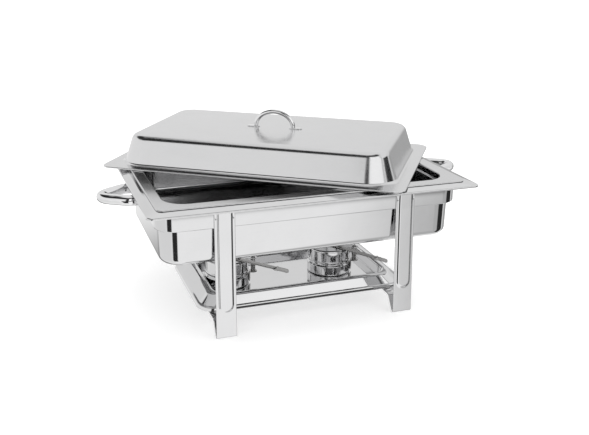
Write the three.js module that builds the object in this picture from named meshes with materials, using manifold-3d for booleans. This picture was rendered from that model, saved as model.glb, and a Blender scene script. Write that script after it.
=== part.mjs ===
// Buffet food warmer (chafing dish) in pressed stainless sheet: a four-legged stand, a water pan,
// a full-size food pan, a loose lid set askew on the rim, and two fuel holders with swinging
// snuffer caps on a shelf. Millimetres, +Z up, long side along X, front towards -Y.
// The origin is on the table, below the middle of the lid.
import * as THREE from 'three';
import { mergeVertices } from 'three/addons/utils/BufferGeometryUtils.js';
import Module from 'manifold-3d';

const wasm = await Module();
wasm.setup();

// ---- Fits shared by all pieces ----
const gap = 0.3; // between pieces that rest on or are welded to each other
const holePlay = 0.3; // between a shank and its hole, on the radius
const cornerSteps = 5; // facets of a pan's round corner
const bendSteps = 3; // facets of a bend in the sheet
const boreFacets = 20;

// ---- Food pan: the size that the rest follows ----
const foodPan = { halfLength: 246, halfWidth: 139.5, cornerRadius: 41, depth: 64, draft: 4, sheet: 1.2 };
const foodFlange = { end: 19, side: 23, bend: 2, lip: 0.8, lipBend: 0.4, edgeRadius: 12 };
const foodRim = {
  halfLength: foodPan.halfLength + foodFlange.end, halfWidth: foodPan.halfWidth + foodFlange.side,
};
const shoulder = { down: 11, in: 1.8, rise: 3, bend: 1.5 }; // stacking step under the food pan's rim
const panBend = 12; // radius round the foot of both pans

// ---- Water pan, round the food pan with room for steam ----
const steam = { end: 12, side: 7, corner: -1, below: 35 };
const rimMargin = 1; // flat of the water pan's flange beyond the food pan's rim
const waterPan = {
  halfLength: foodPan.halfLength + steam.end, halfWidth: foodPan.halfWidth + steam.side,
  cornerRadius: foodPan.cornerRadius + steam.corner, depth: foodPan.depth + steam.below,
  draft: 3.5, sheet: 1.2,
};
const waterFlange = {
  end: 25, side: 34, flat: foodRim.halfWidth + rimMargin - waterPan.halfWidth,
  bend: 2.5, fall: 2.5, fallBend: 4, lip: 2.5, lipBend: 1.2, edgeRadius: 12,
};

// ---- Lid, turned on the rim ----
const lidOverhang = 7; // beyond the food pan's rim when it is set straight
const lidFlange = { end: 22, side: 23.5, lip: 1.6, lipBend: 0.6, edgeRadius: 20, foot: 6 };
const lid = {
  halfLength: foodRim.halfLength + lidOverhang - lidFlange.end,
  halfWidth: foodRim.halfWidth + lidOverhang - lidFlange.side,
  cornerRadius: foodPan.cornerRadius + 7, height: 52, lean: 17, sheet: 1, crown: 14,
};
const lidPlace = { x: 4, y: 93.6, turn: -35.5 };
const arch = { rod: 4.3, halfSpan: 36, rise: 28, bore: 8, stations: 24, facets: 14 };
const archPlace = { x: 3, y: 6 }; // it stands a little off the middle of the roof
const footPlate = { halfLength: 12, halfWidth: 6, sheet: 1.5, offset: 5 };
const lidScrew = { shank: 1.8, head: 4.5, headHeight: 2.2, short: 2 };

// ---- Shelf and fuel holders ----
const strap = { sheet: 2, top: 27, flatPast: 18, bend: 6, footRise: 1.6, footGap: 1 };
const shelf = {
  sheet: 1, floorRise: 2, floorBend: 2.5, wallRun: 1.2, crestRise: 22, crestBend: 2.5,
  crestRun: 8, crestFall: 0.5, crownBend: 6, slopeRun: 19, creaseRise: 6.5, creaseBend: 1.5,
  ledgeRun: 21.5, ledgeRise: 5.5,
};
const cupNeckIn = 3.2;
const capOverNeck = 1.5;
const cup = {
  radius: 39.7, height: 17.5, neckRise: 2.7, neckHeight: 23.3, sheet: 1, bend: 3, neckBend: 1.5, facets: 24,
};
cup.neckRadius = cup.radius - cupNeckIn;
const cap = {
  radius: cup.neckRadius + capOverNeck, height: 24, sheet: 1, bend: 3,
  bead: 0.8, beadHeight: 2.5, beadFall: 1, beadBend: 0.5, lift: 0.6,
};
const lug = { halfWidth: 7, turn: -30 };
lug.reach = cup.radius + gap + lug.halfWidth;
const bracket = { sheet: 1.8, low: 5, top: cup.neckHeight - gap };
const pin = { shank: 2, head: 4, headHeight: 2, tail: 3.5, tailHeight: 1.5 };
const sleeve = { radius: 4 };
const lever = {
  width: 12, sheet: 1.8, start: -6, twistAt: 100, twistRun: 10, twistSteps: 4,
  tipLength: 18, tipWidth: 7, turn: -60,
};
lever.tip = lever.twistAt + lever.twistRun + lever.tipLength;
const leverEase = { start: 1.5, tip: 2, share: 0.72 }; // the bar's ends are narrowed over that length
const leverRivet = {
  shank: 2, head: 3.6, headHeight: 1.6, tail: 3, tailHeight: 1, near: 6, far: cap.radius - 12,
};
const capLow = cup.neckHeight + cap.lift;
const capTop = capLow + cap.height;
const shelfFoot = strap.top + gap;
const holderFoot = shelfFoot + shelf.floorRise + shelf.sheet + gap;

// ---- Stand, round the water pan ----
const flameGap = 46.8; // from the caps to the bottom of the water pan
const collarTop = holderFoot + capTop + flameGap + waterPan.depth - gap;
const panPlay = { end: 3.8, side: 3.3, corner: -6 };
const collar = { height: 38, sheet: 1.2, lip: 3, bend: 2 };
collar.cornerRadius = waterPan.cornerRadius + panPlay.corner;
collar.halfLength = waterPan.halfLength + panPlay.end + collar.sheet;
collar.halfWidth = waterPan.halfWidth + panPlay.side + collar.sheet;
const leg = { width: 34, sheet: 1.6, fromEnd: 106, toe: 6.5, splay: 5, bend: 2.5 };
leg.spacing = collar.halfLength - leg.fromEnd;
const rib = { flat: 19, flank: 3.5, lift: 1.8, low: 44, run: 8 }; // open at the leg's top
const shelfRim = { end: 34, side: 24, edgeRadius: 34 };
const shelfPast = 16; // shelf beyond the legs' outer edges
const shelfInside = 34; // shelf's long edges inside the collar's outline
const tray = {
  halfLength: leg.spacing + leg.width / 2 + shelfPast - shelfRim.end,
  halfWidth: collar.halfWidth - shelfInside - shelfRim.side, cornerRadius: 26,
};
strap.flatHalf = tray.halfWidth + shelfRim.side + strap.flatPast;
const holderPlace = { left: 1.3, right: 35.3, front: 8 }; // from the shelf's end walls, and off its middle
const holders = [
  { side: 'left', x: cup.radius + holderPlace.left - tray.halfLength, y: -holderPlace.front, turn: 9 },
  { side: 'right', x: tray.halfLength - cup.radius - holderPlace.right, y: -holderPlace.front, turn: 0 },
];

// ---- Bow handles on the ends of the collar, under the water pan's flange ----
const bow = { radius: 9, reach: 64, under: 2.3, fromCorner: 69, tabMore: 1, tabSheet: 4, tabLength: 16 };
bow.tabHalf = bow.radius + bow.tabMore;
bow.height = collarTop + gap - waterFlange.fall - waterFlange.lip - bow.radius - bow.under;
bow.footSpread = collar.halfWidth - collar.cornerRadius - bow.fromCorner;
// Centre line from a tab to the middle: shares of the reach and of the spread.
const bowLine = [[0.34, 0.7], [0.64, 0.47], [0.9, 0.22]];
const bowBend = {
  out: 0.12, tabLengths: 0.75, middle: 0.965, roundFrom: 0.02, roundTo: 0.3, squareness: 0.35,
};
const bowFacets = { stations: 32, around: 14 };
const handleRivet = { shank: 2, head: 4.6, headHeight: 2.2, tail: 3.4, tailHeight: 1.2 };
const rivetFacets = 12;
const rivetDome = { rim: 0.3, steps: [0.35, 0.7, 1] }; // shares of the head's height and of a quarter turn

// ---- Finishes ----
const finishes = {
  mirror: new THREE.MeshStandardMaterial({ color: 0xdfe1e3, roughness: 0.08, metalness: 1 }),
  brushed: new THREE.MeshStandardMaterial({ color: 0xd3d5d7, roughness: 0.28, metalness: 1 }),
  chrome: new THREE.MeshStandardMaterial({ color: 0xe8eaec, roughness: 0.05, metalness: 1 }),
  dark: new THREE.MeshStandardMaterial({ color: 0x8b8d8f, roughness: 0.3, metalness: 1 }),
};

// ---- Making solids ----

// A closed geometry with its faces pointing out, whichever way round its rings were listed.
function facingOut(geometry) {
  const p = geometry.getAttribute('position');
  const index = Array.from(geometry.index.array);
  const [a, b, c] = [new THREE.Vector3(), new THREE.Vector3(), new THREE.Vector3()];
  let volume = 0;
  for (let i = 0; i < index.length; i += 3) {
    a.fromBufferAttribute(p, index[i]);
    b.fromBufferAttribute(p, index[i + 1]);
    c.fromBufferAttribute(p, index[i + 2]);
    volume += a.dot(b.cross(c));
  }
  if (volume < 0) {
    index.reverse();
    geometry.setIndex(index);
  }
  return geometry;
}

function indexed(points, index) {
  const geometry = new THREE.BufferGeometry();
  geometry.setAttribute('position', new THREE.Float32BufferAttribute(points.flatMap((p) => p.toArray()), 3));
  geometry.setIndex(index);
  return facingOut(geometry);
}

// Skin over a row of rings with equal counts. The row closes on itself, or its two ends are capped.
function loft(rings, closes = false) {
  const count = rings[0].length;
  const points = rings.flat();
  const index = [];
  for (let k = 0; k < rings.length - (closes ? 0 : 1); k++) {
    const low = k * count;
    const high = ((k + 1) % rings.length) * count;
    for (let i = 0; i < count; i++) {
      const j = (i + 1) % count;
      index.push(low + i, low + j, high + j, low + i, high + j, high + i);
    }
  }
  if (!closes) {
    const last = (rings.length - 1) * count;
    const middle = points.push(ringMiddle(rings[0]), ringMiddle(rings.at(-1))) - 2;
    for (let i = 0; i < count; i++) {
      const j = (i + 1) % count;
      index.push(middle, j, i, middle + 1, last + i, last + j);
    }
  }
  return indexed(points, index);
}

function ringMiddle(ring) {
  return ring.reduce((sum, p) => sum.add(p), new THREE.Vector3()).divideScalar(ring.length);
}

// Rectangle with round corners, seen from above, at height z.
function roundedRing(halfLength, halfWidth, radius, z) {
  const points = [];
  const centres = [[1, 1], [-1, 1], [-1, -1], [1, -1]];
  centres.forEach(([x, y], quarter) => {
    for (let i = 0; i <= cornerSteps; i++) {
      const angle = (quarter + i / cornerSteps) * Math.PI / 2;
      const across = x * (halfLength - radius) + radius * Math.cos(angle);
      const along = y * (halfWidth - radius) + radius * Math.sin(angle);
      points.push(new THREE.Vector3(across, along, z));
    }
  });
  return points;
}

// A section line through corners [x, y, bend radius], with each bend drawn as an arc.
function bentLine(corners) {
  const points = corners.map(([x, y]) => new THREE.Vector2(x, y));
  const line = [points[0]];
  for (let i = 1; i < points.length - 1; i++) {
    const radius = corners[i][2] ?? 0;
    const into = points[i].clone().sub(points[i - 1]).normalize();
    const out = points[i + 1].clone().sub(points[i]).normalize();
    const turn = Math.atan2(into.cross(out), into.dot(out));
    if (radius === 0 || Math.abs(turn) < 0.01) {
      line.push(points[i]);
      continue;
    }
    const start = points[i].clone().addScaledVector(into, -radius * Math.tan(Math.abs(turn) / 2));
    const side = Math.sign(turn);
    const centre = start.clone().add(new THREE.Vector2(-into.y, into.x).multiplyScalar(side * radius));
    for (let k = 0; k <= bendSteps; k++) {
      line.push(start.clone().rotateAround(centre, turn * k / bendSteps));
    }
  }
  line.push(points.at(-1));
  return line;
}

// The same line moved to its left by the thickness of the sheet.
function offsetLine(line, thickness) {
  const leftOf = (from, to) => new THREE.Vector2(from.y - to.y, to.x - from.x).normalize();
  return line.map((point, i) => {
    const before = i > 0 ? leftOf(line[i - 1], point) : leftOf(point, line[1]);
    const after = i < line.length - 1 ? leftOf(point, line[i + 1]) : before;
    const bisector = before.clone().add(after).normalize();
    return point.clone().addScaledVector(bisector, thickness / bisector.dot(before));
  });
}

// Pressed sheet: a section line of [out from the wall, height, bend], carried round the outline.
// Inside the wall line the rings keep their distance; outside it the rim has its own widths.
function pressedSheet(body, rim, corners, thickness, closes = false) {
  const ringAt = ({ x: out, y: z }) => {
    const share = Math.max(out, 0) / rim.side;
    const outAtEnds = out > 0 ? share * rim.end : out;
    const radius = out > 0
      ? body.cornerRadius + share * (rim.edgeRadius - body.cornerRadius)
      : Math.max(body.cornerRadius + out, 1);
    return roundedRing(body.halfLength + outAtEnds, body.halfWidth + out, radius, z);
  };
  const line = bentLine(corners);
  const loop = [...line, ...offsetLine(line, thickness).reverse()];
  return loft(loop.map(ringAt), closes);
}

// Bent strip: a section line in the YZ plane, given its thickness and its width along X.
function bentStrip(corners, thickness, width) {
  const line = bentLine(corners);
  const outline = new THREE.Shape([...line, ...offsetLine(line, thickness).reverse()]);
  const geometry = new THREE.ExtrudeGeometry(outline, { depth: width, bevelEnabled: false, steps: 1 });
  const toRow = new THREE.Matrix4().makeBasis(
    new THREE.Vector3(0, 1, 0), new THREE.Vector3(0, 0, 1), new THREE.Vector3(1, 0, 0));
  return geometry.applyMatrix4(toRow).translate(-width / 2, 0, 0);
}

// Turned piece: the profile is [radius, height] and closes on the axis or on itself.
function turned(profile, facets = 28) {
  const points = profile.map(([x, y]) => new THREE.Vector2(x, y));
  return new THREE.LatheGeometry(points, facets).rotateX(Math.PI / 2);
}

// Rivet or screw along +Z: tail from 0 to its height, then the shank, then a domed head.
function rivet(kind, grip) {
  const seat = kind.tailHeight + grip;
  const dome = rivetDome.steps.map((t) => {
    const angle = t * Math.PI / 2;
    const rise = rivetDome.rim + (1 - rivetDome.rim) * Math.sin(angle);
    return [kind.head * Math.cos(angle), seat + kind.headHeight * rise];
  });
  dome.at(-1)[0] = 0;
  return turned([
    [0, 0], [kind.tail, 0], [kind.tail, kind.tailHeight], [kind.shank, kind.tailHeight],
    [kind.shank, seat], [kind.head, seat], [kind.head, seat + rivetDome.rim * kind.headHeight], ...dome,
  ], rivetFacets);
}

function drill(radius, length, x, y, z) {
  return new THREE.CylinderGeometry(radius, radius, length, boreFacets)
    .rotateX(Math.PI / 2).translate(x, y, z);
}

// A hole for a handle rivet, along X.
function rivetHole(length, x, y) {
  return drill(handleRivet.shank + holePlay, length, 0, 0, 0)
    .rotateY(Math.PI / 2).translate(x, y, bow.height);
}

function boxAt(size, centre) {
  return new THREE.BoxGeometry(...size).translate(...centre);
}

// ---- Joining and cutting ----
function toSolid(geometry) {
  const bare = geometry.clone();
  bare.deleteAttribute('normal');
  bare.deleteAttribute('uv');
  const merged = mergeVertices(bare, 1e-4);
  return new wasm.Manifold(new wasm.Mesh({
    numProp: 3,
    vertProperties: new Float32Array(merged.getAttribute('position').array),
    triVerts: new Uint32Array(merged.index.array),
  }));
}

function fromSolid(solid) {
  const { vertProperties, triVerts } = solid.getMesh();
  const geometry = new THREE.BufferGeometry();
  geometry.setAttribute('position', new THREE.BufferAttribute(new Float32Array(vertProperties), 3));
  geometry.setIndex(Array.from(triVerts));
  return geometry;
}

function shaped(base, { add = [], cut = [] }) {
  let solid = toSolid(base);
  for (const piece of add) solid = solid.add(toSolid(piece));
  for (const tool of cut) solid = solid.subtract(toSolid(tool));
  return fromSolid(solid);
}

// ---- Stand ----

// Band that holds the pans: a strip bent round with a small lip turned in at its lower edge.
function collarBand() {
  const low = collarTop - collar.height;
  const line = [[-collar.lip, low], [0, low, collar.bend], [0, collarTop]];
  const band = pressedSheet(collar, { end: 1, side: 1, edgeRadius: 1 }, line, collar.sheet, true);
  const cut = [];
  for (const x of [-1, 1]) {
    for (const y of [-1, 1]) {
      cut.push(rivetHole(6 * collar.sheet, x * collar.halfLength, y * bow.footSpread));
    }
  }
  return shaped(band, { cut });
}

// How far the rib of a leg stands out at a height, from 0 to 1.
function ribShare(height) {
  return THREE.MathUtils.smoothstep((height - rib.low) / rib.run, 0, 1);
}

// Pressed leg, welded flat on the collar: leans out to the foot, where its toe turns in.
function legPlate() {
  const face = collar.halfWidth + gap + leg.sheet;
  const low = collarTop - collar.height;
  const corners = [[-face, collarTop - gap], [-face, low]];
  const lean = (height) => -face - leg.splay * (low - height) / low;
  for (const height of [rib.low + rib.run, rib.low + rib.run / 2, rib.low]) {
    corners.push([lean(height), height]);
  }
  corners.push([-face - leg.splay, 0, leg.bend], [-face - leg.splay + leg.toe, 0]);
  const front = bentLine(corners);
  const back = offsetLine(front, leg.sheet);
  const flatHalf = rib.flat / 2;
  const columns = [-leg.width / 2, -flatHalf - rib.flank, -flatHalf, flatHalf, flatHalf + rib.flank,
    leg.width / 2];
  const row = (line, i) => columns.map((x) => {
    const raised = Math.abs(x) <= flatHalf ? rib.lift * ribShare(line[i].y) : 0;
    return new THREE.Vector3(x, line[i].x - raised, line[i].y);
  });
  const rings = front.map((_, i) => [...row(front, i), ...row(back, i).reverse()]);
  return loft(rings);
}

// Strap under the shelf: flat between its bends, then down to the two feet.
function crossStrap() {
  const footOut = collar.halfWidth + leg.splay + gap - leg.toe + leg.sheet - strap.footGap;
  const under = strap.top - strap.sheet;
  const foot = [-footOut, strap.footRise];
  return bentStrip([foot, [-strap.flatHalf, under, strap.bend], [strap.flatHalf, under, strap.bend],
    [footOut, strap.footRise]], strap.sheet, leg.width);
}

// Shelf: a shallow pressing with a broad rolled rim and a skirt that stands on the straps.
function fuelTray() {
  const floor = shelfFoot + shelf.floorRise;
  const crest = shelfFoot + shelf.crestRise;
  return pressedSheet(tray, shelfRim, [
    [-tray.halfWidth / 3, floor], [0, floor, shelf.floorBend], [shelf.wallRun, crest, shelf.crestBend],
    [shelf.crestRun, crest - shelf.crestFall, shelf.crownBend],
    [shelf.slopeRun, shelfFoot + shelf.creaseRise, shelf.creaseBend],
    [shelf.ledgeRun, shelfFoot + shelf.ledgeRise, shelf.creaseBend],
    [shelfRim.side - shelf.sheet, shelfFoot],
  ], shelf.sheet);
}

// Bow handle in tube: both ends are flattened into tabs that lie on the collar's end.
function bowHandle() {
  const x = collar.halfLength + gap + bow.tabSheet / 2;
  const spread = bow.footSpread;
  const half = [
    [x, spread + bow.tabLength / 2], [x, spread], [x, spread - bow.tabLength / 2],
    [x + bowBend.out * bow.reach, spread - bowBend.tabLengths * bow.tabLength],
    ...bowLine.map(([out, along]) => [x + out * bow.reach, along * spread]),
  ];
  const mirrored = half.map(([px, py]) => [px, -py]).reverse();
  const points = [...half, [x + bowBend.middle * bow.reach, 0], ...mirrored];
  const curve = new THREE.CatmullRomCurve3(
    points.map(([px, py]) => new THREE.Vector3(px, py, bow.height)), false, 'centripetal');
  const rings = [];
  for (let i = 0; i <= bowFacets.stations; i++) {
    const share = i / bowFacets.stations;
    const centre = curve.getPointAt(share);
    centre.setX(Math.max(centre.x, x));
    const ahead = curve.getTangentAt(share);
    const across = new THREE.Vector3(ahead.y, -ahead.x, 0);
    const round = THREE.MathUtils.smoothstep(
      centre.x - x, bowBend.roundFrom * bow.reach, bowBend.roundTo * bow.reach);
    const halfThick = THREE.MathUtils.lerp(bow.tabSheet / 2, bow.radius, round);
    const halfTall = THREE.MathUtils.lerp(bow.tabHalf, bow.radius, round);
    const power = THREE.MathUtils.lerp(bowBend.squareness, 1, round);
    const flat = (value) => Math.sign(value) * Math.abs(value) ** power;
    const ring = [];
    for (let k = 0; k < bowFacets.around; k++) {
      const angle = 2 * Math.PI * k / bowFacets.around;
      const point = centre.clone().addScaledVector(across, halfThick * flat(Math.cos(angle)));
      ring.push(point.setZ(bow.height + halfTall * flat(Math.sin(angle))));
    }
    rings.push(ring);
  }
  const cut = [-1, 1].map((side) => rivetHole(3 * bow.tabSheet, x, side * spread));
  return shaped(loft(rings), { cut });
}

function bowRivet() {
  const inner = collar.halfLength - collar.sheet - gap;
  const outer = collar.halfLength + gap + bow.tabSheet + gap;
  const body = rivet(handleRivet, outer - inner).rotateY(Math.PI / 2);
  return body.translate(inner - handleRivet.tailHeight, 0, bow.height);
}

// ---- Pans ----

// Deep pan for hot water: its flange rests on the collar and slopes off to a turned-down edge.
function waterPanShell() {
  const under = collarTop + gap;
  const low = under - waterPan.depth;
  const edge = waterFlange.side - waterPan.sheet;
  return pressedSheet(waterPan, waterFlange, [
    [-waterPan.halfWidth / 3, low], [-waterPan.draft, low, panBend], [0, under, waterFlange.bend],
    [waterFlange.flat, under, waterFlange.fallBend], [edge, under - waterFlange.fall, waterFlange.lipBend],
    [edge, under - waterFlange.fall - waterFlange.lip],
  ], waterPan.sheet);
}

// Full-size food pan with a stacking shoulder: its rim lies on the water pan's flange.
const foodFoot = collarTop + gap + waterPan.sheet + gap;
const foodUnder = foodFoot + foodFlange.lip;

function foodPanShell() {
  const low = foodUnder - foodPan.depth;
  const edge = foodFlange.side - foodPan.sheet;
  const step = foodUnder - shoulder.down;
  return pressedSheet(foodPan, foodFlange, [
    [-foodPan.halfWidth / 3, low], [-foodPan.draft, low, panBend],
    [-shoulder.in, step - shoulder.rise, shoulder.bend], [0, step, shoulder.bend],
    [0, foodUnder, foodFlange.bend], [edge, foodUnder, foodFlange.lipBend], [edge, foodFoot],
  ], foodPan.sheet);
}

// Height of the face that the lid's edge stands on.
const rimTop = foodUnder + foodPan.sheet;

// ---- Lid ----
const lidRoof = rimTop + gap + lidFlange.lip + lid.height; // underside of its flat top

function lidShell() {
  const foot = rimTop + gap;
  const under = foot + lidFlange.lip;
  const edge = lidFlange.side - lid.sheet;
  const dome = pressedSheet(lid, lidFlange, [
    [-lid.halfWidth / 2, lidRoof], [-lid.lean, lidRoof, lid.crown], [0, under, lidFlange.foot],
    [edge, under, lidFlange.lipBend], [edge, foot],
  ], lid.sheet);
  const cut = [-1, 1].map((side) => drill(lidScrew.shank + holePlay, 4 * lid.sheet,
    archPlace.x + side * arch.halfSpan, archPlace.y, lidRoof + lid.sheet / 2));
  return shaped(dome, { cut });
}

const plateLow = lidRoof + lid.sheet + gap;
const archLow = plateLow + footPlate.sheet + gap;

// Round rod bent into an arch that stands on its two foot plates.
function lidArch() {
  const outline = new THREE.EllipseCurve(0, archLow, arch.halfSpan, arch.rise, 0, Math.PI);
  const points = outline.getPoints(arch.stations).map((p) => new THREE.Vector3(p.x, 0, p.y));
  const rings = points.map((centre, i) => {
    const angle = Math.PI * i / arch.stations;
    const outward = new THREE.Vector3(
      arch.rise * Math.cos(angle), 0, arch.halfSpan * Math.sin(angle)).normalize();
    return Array.from({ length: arch.facets }, (_, k) => {
      const around = 2 * Math.PI * k / arch.facets;
      const point = centre.clone().addScaledVector(outward, arch.rod * Math.cos(around));
      return point.setY(arch.rod * Math.sin(around));
    });
  });
  const cut = [-1, 1].map((side) => drill(
    lidScrew.shank + holePlay, 2 * arch.bore, side * arch.halfSpan, 0, archLow));
  return shaped(loft(rings), { cut });
}

function footPlateOf(side) {
  const straight = footPlate.halfLength - footPlate.halfWidth;
  const shape = new THREE.Shape();
  shape.absarc(straight, 0, footPlate.halfWidth, -Math.PI / 2, Math.PI / 2);
  shape.absarc(-straight, 0, footPlate.halfWidth, Math.PI / 2, 1.5 * Math.PI);
  const options = { depth: footPlate.sheet, bevelEnabled: false, curveSegments: boreFacets / 2 };
  const plate = new THREE.ExtrudeGeometry(shape, options);
  const x = side * arch.halfSpan;
  const middle = plateLow + footPlate.sheet / 2;
  const hole = drill(lidScrew.shank + holePlay, 4 * footPlate.sheet, x, 0, middle);
  return shaped(plate.translate(x + side * footPlate.offset, 0, plateLow), { cut: [hole] });
}

// Screw from inside the lid, through roof and plate into the rod.
function lidScrewBody() {
  const seat = lidRoof - gap;
  const end = archLow + arch.bore - lidScrew.short;
  return turned([[0, end], [lidScrew.shank, end], [lidScrew.shank, seat], [lidScrew.head, seat],
    [lidScrew.head, seat - 0.5 * lidScrew.headHeight], [0.6 * lidScrew.head, seat - lidScrew.headHeight],
    [0, seat - lidScrew.headHeight]].reverse(), rivetFacets);
}

// ---- Fuel holders, each drawn about its own axis, standing on z = 0 ----
const lugAt = new THREE.Vector2(lug.reach, 0).rotateAround(
  new THREE.Vector2(), THREE.MathUtils.degToRad(lug.turn));

// Spun cup with a drawn-in neck, open at the top.
function fuelCup() {
  const line = bentLine([[0, 0], [cup.radius, 0, cup.bend], [cup.radius, cup.height, cup.neckBend],
    [cup.neckRadius, cup.height + cup.neckRise, cup.neckBend], [cup.neckRadius, cup.neckHeight]]);
  const inside = offsetLine(line, cup.sheet).reverse();
  inside.at(-1).setX(0);
  return turned([...line, ...inside].map((p) => [p.x, p.y]), cup.facets);
}

// Bent bracket on the cup's side, with an ear for the pivot.
function cupBracket() {
  const x = cup.radius + gap;
  const plate = boxAt([bracket.sheet, 2 * lug.halfWidth, bracket.top - bracket.low],
    [x + bracket.sheet / 2, 0, (bracket.top + bracket.low) / 2]);
  const earZ = bracket.top - bracket.sheet / 2;
  const ear = boxAt([lug.reach - x, 2 * lug.halfWidth, bracket.sheet], [(lug.reach + x) / 2, 0, earZ]);
  const tip = drill(lug.halfWidth, bracket.sheet, lug.reach, 0, earZ);
  const hole = drill(pin.shank + holePlay, 4 * bracket.sheet, lug.reach, 0, earZ);
  return shaped(plate, { add: [ear, tip], cut: [hole] }).rotateZ(THREE.MathUtils.degToRad(lug.turn));
}

// Distance tube that carries the cap's lug at its height.
function pivotSleeve() {
  const low = bracket.top + gap;
  const high = capTop - cap.sheet - gap;
  const bore = pin.shank + holePlay;
  const profile = [[bore, low], [sleeve.radius, low], [sleeve.radius, high], [bore, high], [bore, low]];
  return turned(profile, boreFacets)
    .translate(lugAt.x, lugAt.y, 0);
}

function pivotPin() {
  const low = bracket.top - bracket.sheet - gap;
  const grip = capTop + gap - low;
  return rivet(pin, grip).translate(lugAt.x, lugAt.y, low - pin.tailHeight);
}

function leverPoint(along) {
  return new THREE.Vector2(along, 0).rotateAround(
    new THREE.Vector2(), THREE.MathUtils.degToRad(lever.turn));
}

// Snuffer cap: a spun lid with a bead at its skirt and a lug for the pivot.
function snufferCap() {
  const beadTop = capLow + cap.beadHeight;
  const line = bentLine([[0, capTop - cap.sheet], [cap.radius - cap.sheet, capTop - cap.sheet, cap.bend],
    [cap.radius - cap.sheet, beadTop, cap.beadBend],
    [cap.radius - cap.sheet + cap.bead, beadTop - cap.beadFall, cap.beadBend],
    [cap.radius - cap.sheet + cap.bead, capLow]]);
  const outside = offsetLine(line, cap.sheet).reverse();
  outside.at(-1).setX(0);
  const dome = turned([...line, ...outside].map((p) => [p.x, p.y]), cup.facets);
  const lugZ = capTop - cap.sheet / 2;
  const inner = cap.radius - cap.bend - cap.sheet;
  const arm = boxAt([lug.reach - inner, 2 * lug.halfWidth, cap.sheet], [(lug.reach + inner) / 2, 0, lugZ]);
  const tip = drill(lug.halfWidth, cap.sheet, lug.reach, 0, lugZ);
  const turn = THREE.MathUtils.degToRad(lug.turn);
  const holes = [leverRivet.near, leverRivet.far].map((along) => {
    const { x, y } = leverPoint(along);
    return drill(leverRivet.shank + holePlay, 6 * cap.sheet, x, y, capTop);
  });
  holes.push(drill(pin.shank + holePlay, 6 * cap.sheet, lugAt.x, lugAt.y, capTop));
  return shaped(dome, { add: [arm.rotateZ(turn), tip.rotateZ(turn)], cut: holes });
}

// Flat steel lever across the cap, with its end twisted upright for the fingers.
function leverStrip() {
  const stations = [lever.start, lever.start + leverEase.start, lever.twistAt / 3, lever.twistAt];
  for (let i = 1; i <= lever.twistSteps; i++) {
    stations.push(lever.twistAt + lever.twistRun * i / lever.twistSteps);
  }
  stations.push(lever.tip - leverEase.tip, lever.tip);
  const height = capTop + gap + lever.sheet / 2;
  const rings = stations.map((along) => {
    const twist = THREE.MathUtils.smoothstep(along, lever.twistAt, lever.twistAt + lever.twistRun);
    const angle = twist * Math.PI / 2;
    const atEnd = along === lever.start || along === lever.tip ? leverEase.share : 1;
    const halfWidth = atEnd * THREE.MathUtils.lerp(lever.width, lever.tipWidth, twist) / 2;
    return [[-1, -1], [1, -1], [1, 1], [-1, 1]].map(([across, up]) => {
      const y = across * halfWidth * Math.cos(angle) - up * lever.sheet / 2 * Math.sin(angle);
      const z = across * halfWidth * Math.sin(angle) + up * lever.sheet / 2 * Math.cos(angle);
      return new THREE.Vector3(along, y, height + z);
    });
  });
  const holes = [leverRivet.near, leverRivet.far].map(
    (along) => drill(leverRivet.shank + holePlay, 3 * lever.sheet, along, 0, height));
  return shaped(loft(rings), { cut: holes }).rotateZ(THREE.MathUtils.degToRad(lever.turn));
}

function leverRivetAt(along) {
  const low = capTop - cap.sheet - gap;
  const high = capTop + gap + lever.sheet + gap;
  const { x, y } = leverPoint(along);
  return rivet(leverRivet, high - low).translate(x, y, low - leverRivet.tailHeight);
}

// ---- Assembly ----
function node(parent, name, geometry, finish) {
  const mesh = new THREE.Mesh(geometry, finishes[finish]);
  mesh.name = name;
  parent.add(mesh);
  return mesh;
}

function addStand(stand) {
  node(stand, 'collar_band', collarBand(), 'mirror');
  for (const [side, x] of [['left', -1], ['right', 1]]) {
    const frontLeg = node(stand, `leg_front_${side}`, legPlate(), 'mirror');
    frontLeg.position.x = x * leg.spacing;
    const backLeg = node(stand, `leg_back_${side}`, legPlate(), 'mirror');
    backLeg.position.x = x * leg.spacing;
    backLeg.rotation.z = Math.PI;
    node(stand, `cross_strap_${side}`, crossStrap(), 'mirror').position.x = x * leg.spacing;
    const turn = x > 0 ? 0 : Math.PI;
    node(stand, `end_handle_${side}`, bowHandle(), 'chrome').rotation.z = turn;
    for (const [place, y] of [['front', -1], ['back', 1]]) {
      const fixing = node(stand, `handle_rivet_${side}_${place}`, bowRivet(), 'chrome');
      fixing.position.y = y * bow.footSpread;
      fixing.rotation.z = turn;
    }
  }
  node(stand, 'fuel_tray', fuelTray(), 'mirror');
}

function addHolder(stand, { side, x, y, turn }) {
  const holder = new THREE.Group();
  holder.position.set(x, y, holderFoot);
  holder.rotation.z = THREE.MathUtils.degToRad(turn);
  node(holder, `fuel_cup_${side}`, fuelCup(), 'mirror');
  node(holder, `cup_bracket_${side}`, cupBracket(), 'dark');
  node(holder, `pivot_sleeve_${side}`, pivotSleeve(), 'dark');
  node(holder, `pivot_pin_${side}`, pivotPin(), 'dark');
  node(holder, `snuffer_cap_${side}`, snufferCap(), 'mirror');
  node(holder, `lever_${side}`, leverStrip(), 'dark');
  node(holder, `lever_rivet_near_${side}`, leverRivetAt(leverRivet.near), 'dark');
  node(holder, `lever_rivet_far_${side}`, leverRivetAt(leverRivet.far), 'dark');
  stand.add(holder);
}

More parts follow.
